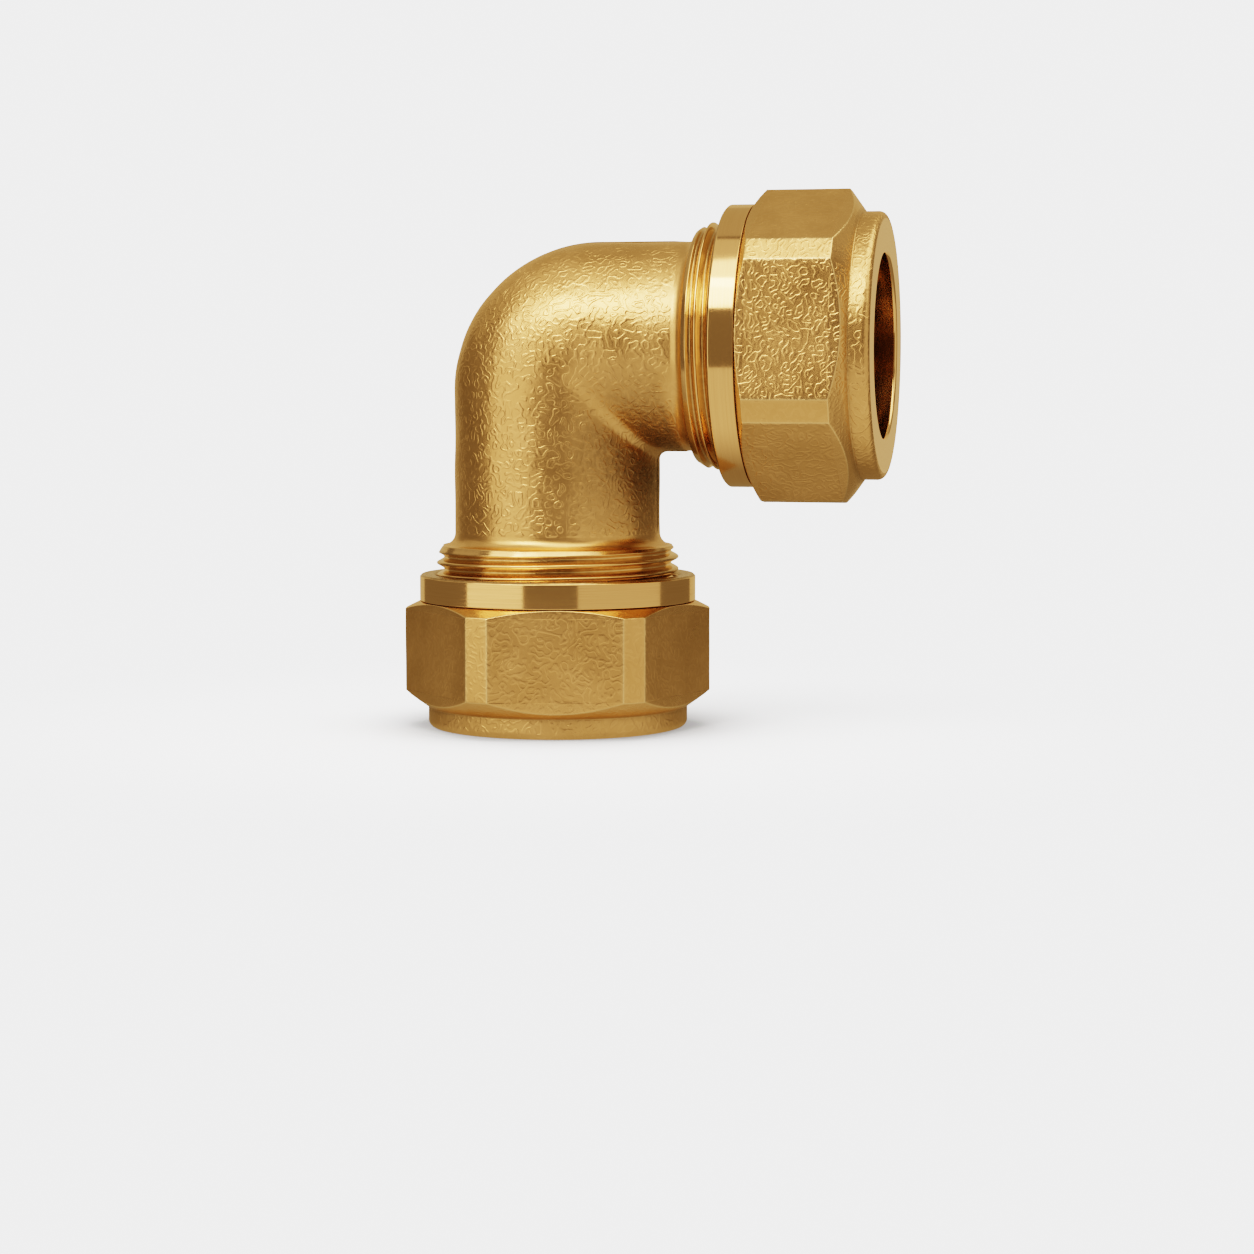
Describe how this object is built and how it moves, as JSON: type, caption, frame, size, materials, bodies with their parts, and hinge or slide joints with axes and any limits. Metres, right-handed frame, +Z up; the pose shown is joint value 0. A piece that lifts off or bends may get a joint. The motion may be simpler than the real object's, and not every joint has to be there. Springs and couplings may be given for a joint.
{
  "type": "compression elbow fitting",
  "caption": "Right-angle brass compression fitting: a forged elbow body joins two tubes, each gripped by an olive under a screwed hexagon nut.",
  "frame": {"origin": "centre of the lower tube opening, in the outer face of the lower nut, which the fitting stands on", "axes": "+Z up the lower axis, +X out along the side axis at z = 46.9 mm, +Y completes a right-handed frame; the plane Y = 0 holds both axes"},
  "size_m": [0.0595, 0.037, 0.0658],
  "materials": {
    "forged_brass": "satin as-forged skin, turned and bright on the threads",
    "nut_brass": "satin as-forged flats, turned and bright on the ring, collar and face",
    "olive_brass": "turned, soft bright"
  },
  "bodies": {
    "lower_nut": {"lower_nut": "nut_brass"},
    "lower_olive": {"lower_olive": "olive_brass"},
    "elbow": {"elbow_body": "forged_brass"},
    "side_olive": {"side_olive": "olive_brass"},
    "side_nut": {"side_nut": "nut_brass"}
  },
  "joints": [
    {"name": "lower_nut_turn", "type": "hinge", "parent": "lower_nut", "child": "lower_olive", "pos_m": [0, 0, 0], "axis": [0, 0, 1], "range_deg": [0, 2160]},
    {"name": "lower_nut_travel", "type": "slide", "parent": "lower_olive", "child": "elbow", "axis": [0, 0, 1], "range_m": [0, 0.009]},
    {"name": "side_nut_travel", "type": "slide", "parent": "elbow", "child": "side_olive", "axis": [1, 0, 0], "range_m": [0, 0.009]},
    {"name": "side_nut_turn", "type": "hinge", "parent": "side_olive", "child": "side_nut", "pos_m": [0.0407, 0, 0.0469], "axis": [1, 0, 0], "range_deg": [0, 2160]}
  ],
  "couplings": [
    {"joint": "lower_nut_turn", "follows": "lower_nut_travel", "rad_per_m": 4188.8},
    {"joint": "side_nut_turn", "follows": "side_nut_travel", "rad_per_m": 4188.8}
  ]
}
